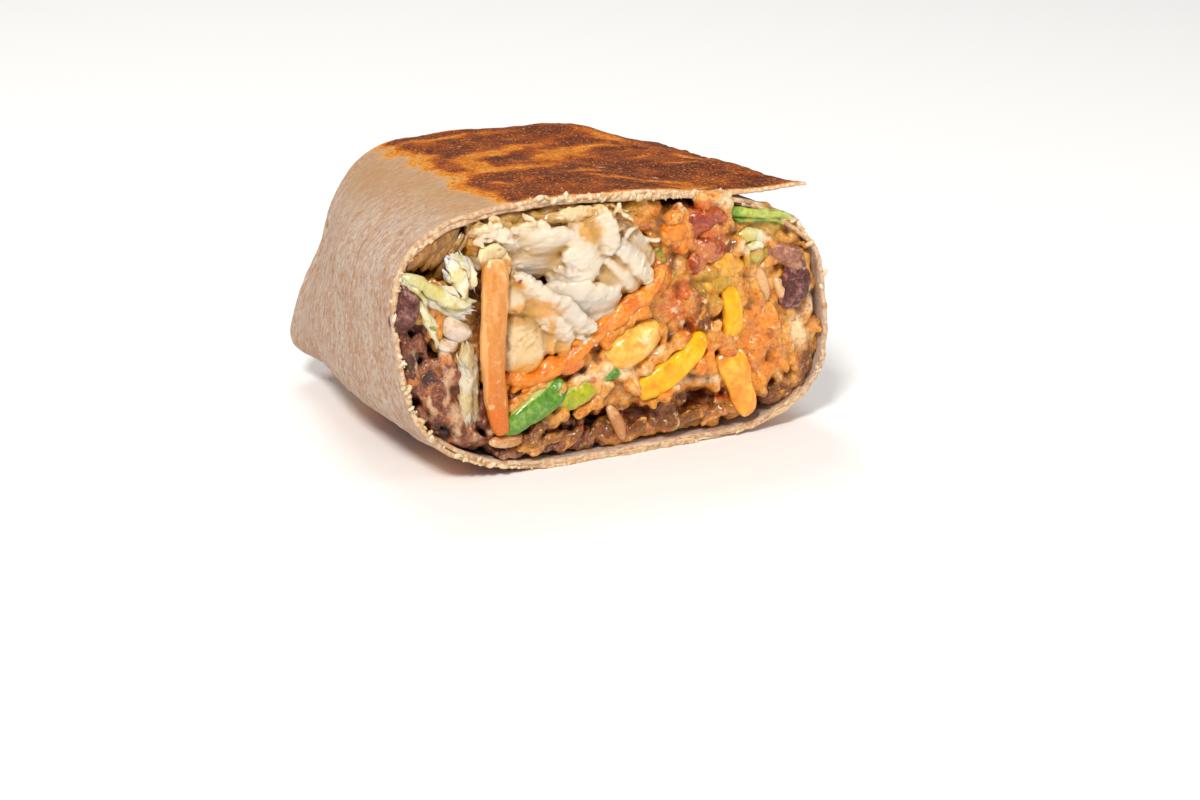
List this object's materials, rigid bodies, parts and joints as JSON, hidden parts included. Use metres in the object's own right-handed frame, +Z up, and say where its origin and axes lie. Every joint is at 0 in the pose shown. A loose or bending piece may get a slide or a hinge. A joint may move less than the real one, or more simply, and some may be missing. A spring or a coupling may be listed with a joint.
{
  "type": "burrito half",
  "caption": "Half of a toasted wholewheat burrito, cut across, with rice, bean mash, white fish, sweetcorn, peppers and cabbage showing at the cut.",
  "frame": {"origin": "on the surface it rests on, under the middle of its bounding box", "axes": "+Z up, +X along the cut face, -Y out of the cut face, +Y towards the folded end"},
  "size_m": [0.0912, 0.0878, 0.0517],
  "materials": {
    "toasted_tortilla": "dry floury wholewheat flatbread, toasted dark on top",
    "sauced_rice": "moist rice in red-orange sauce",
    "bean_mash": "moist brown bean mash",
    "white_fish": "moist white flakes",
    "carrot": "moist cut carrot",
    "cabbage": "wet pale shreds",
    "leaf": "wilted brown-yellow leaf",
    "green_leaf": "wet lime green leaf",
    "onion": "translucent wet onion",
    "black_bean": "shiny dark bean",
    "brown_bean": "split brown bean",
    "green_pepper": "wet bright green pepper",
    "corn": "plump shiny kernel",
    "yellow_pepper": "wet yellow pepper",
    "orange_pepper": "wet orange pepper",
    "tomato": "soft cooked tomato",
    "avocado": "soft mashed avocado",
    "chili_sauce": "thick creamy orange sauce"
  },
  "bodies": {
    "root": {"tortilla": "toasted_tortilla", "rice_filling": "sauced_rice", "bean_mash": "bean_mash", "fish_1": "white_fish", "fish_2": "white_fish", "fish_3": "white_fish", "carrot_strip": "carrot", "cabbage_1": "cabbage", "cabbage_2": "cabbage", "cabbage_3": "cabbage", "cabbage_4": "cabbage", "cabbage_5": "cabbage", "leaf_1": "leaf", "leaf_2": "green_leaf", "onion_piece": "onion", "bean_1": "black_bean", "bean_2": "brown_bean", "bean_3": "black_bean", "green_pepper_1": "green_pepper", "green_pepper_2": "green_leaf", "green_pepper_3": "green_pepper", "corn_1": "corn", "corn_2": "corn", "yellow_pepper_1": "yellow_pepper", "yellow_pepper_2": "yellow_pepper", "orange_pepper": "orange_pepper", "tomato_1": "tomato", "tomato_2": "tomato", "tomato_3": "tomato", "avocado_1": "avocado", "chili_sauce": "chili_sauce"}
  },
  "joints": []
}
